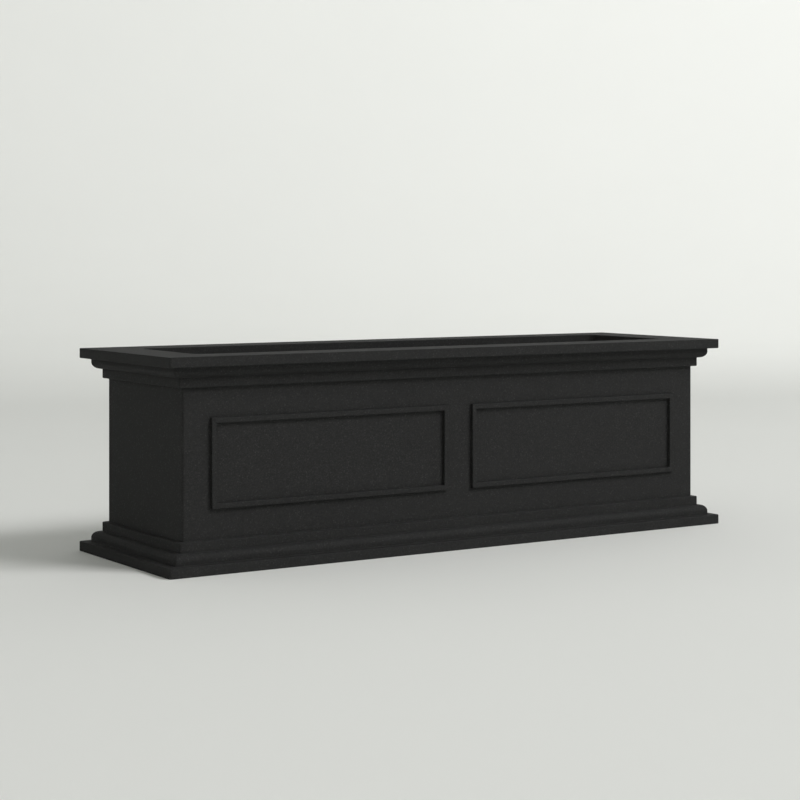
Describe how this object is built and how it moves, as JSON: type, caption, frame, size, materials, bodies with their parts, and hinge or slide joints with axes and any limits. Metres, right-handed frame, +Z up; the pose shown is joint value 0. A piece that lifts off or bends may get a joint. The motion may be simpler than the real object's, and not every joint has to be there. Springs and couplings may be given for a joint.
{
  "type": "self watering planter",
  "caption": "Long self-watering trough planter with crown and base mouldings, raised panel frames, a lift-out liner, water tank, fill tube and level gauge.",
  "frame": {"origin": "centre of the base on the floor, under the middle of the planter", "axes": "+X along the length to the right, -Y out of the front with its two panel frames, +Z up"},
  "size_m": [0.914, 0.28, 0.277],
  "materials": {
    "casing_plastic": "matt rotomoulded polyethylene, charcoal black with a fine light speckle",
    "tank_plastic": "matt moulded plastic, black",
    "liner_plastic": "satin injection moulded plastic, dark grey",
    "fitting_plastic": "fine grained injection moulded plastic, black",
    "black_rubber": "matt black rubber",
    "stainless_steel": "drawn stainless steel, satin",
    "brass": "turned brass",
    "clear_plastic": "clear moulded plastic",
    "float_foam": "closed-cell foam, off-white",
    "signal_red": "glossy red plastic",
    "drain_plug_plastic": "moulded plastic, brick red"
  },
  "bodies": {
    "root": {"outer_casing": "casing_plastic", "base_plate": "tank_plastic", "base_screws": "stainless_steel", "threaded_inserts": "brass", "rubber_foot_1": "black_rubber", "rubber_foot_2": "black_rubber", "rubber_foot_3": "black_rubber", "rubber_foot_4": "black_rubber", "rubber_foot_5": "black_rubber", "rubber_foot_6": "black_rubber", "reservoir_tank": "tank_plastic", "overflow_spout": "fitting_plastic", "overflow_gasket": "black_rubber", "overflow_nut": "fitting_plastic"},
    "drain_plug": {"drain_plug": "drain_plug_plastic", "drain_o_ring": "black_rubber"},
    "liner": {"planting_liner": "liner_plastic", "wick_cup_1": "liner_plastic", "wick_cup_2": "liner_plastic", "wick_cup_3": "liner_plastic", "wick_cup_4": "liner_plastic", "fill_tube": "fitting_plastic", "fill_collar": "fitting_plastic", "fill_grommet": "black_rubber", "fill_tube_clip": "fitting_plastic", "cap_hinge_pin": "stainless_steel", "gauge_tube": "clear_plastic", "gauge_foot": "fitting_plastic", "gauge_lens": "clear_plastic", "gauge_grommet": "black_rubber", "gauge_tube_clip": "fitting_plastic"},
    "fill_cap": {"fill_cap": "fitting_plastic"},
    "float": {"level_float": "float_foam", "level_rod": "signal_red"},
    "left_handle": {"left_handle_bail": "stainless_steel", "left_handle_grip": "fitting_plastic"},
    "right_handle": {"right_handle_bail": "stainless_steel", "right_handle_grip": "fitting_plastic"}
  },
  "joints": [
    {"name": "liner_lift", "type": "slide", "parent": "root", "child": "liner", "axis": [0, 0, 1], "range_m": [0, 0.265]},
    {"name": "left_handle_swing", "type": "hinge", "parent": "liner", "child": "left_handle", "pos_m": [-0.325, 0, 0.254], "axis": [0, 1, 0], "range_deg": [0, 95]},
    {"name": "right_handle_swing", "type": "hinge", "parent": "liner", "child": "right_handle", "pos_m": [0.325, 0, 0.254], "axis": [0, -1, 0], "range_deg": [0, 95]},
    {"name": "fill_cap_flip", "type": "hinge", "parent": "liner", "child": "fill_cap", "pos_m": [0.273, 0.044, 0.258], "axis": [0, -1, 0], "range_deg": [0, 110]},
    {"name": "float_rise", "type": "slide", "parent": "liner", "child": "float", "axis": [0, 0, 1], "range_m": [0, 0.046]},
    {"name": "drain_plug_turn", "type": "hinge", "parent": "root", "child": "drain_plug", "pos_m": [0, 0, 0.0095], "axis": [0, 0, -1], "range_deg": [0, 90]}
  ]
}
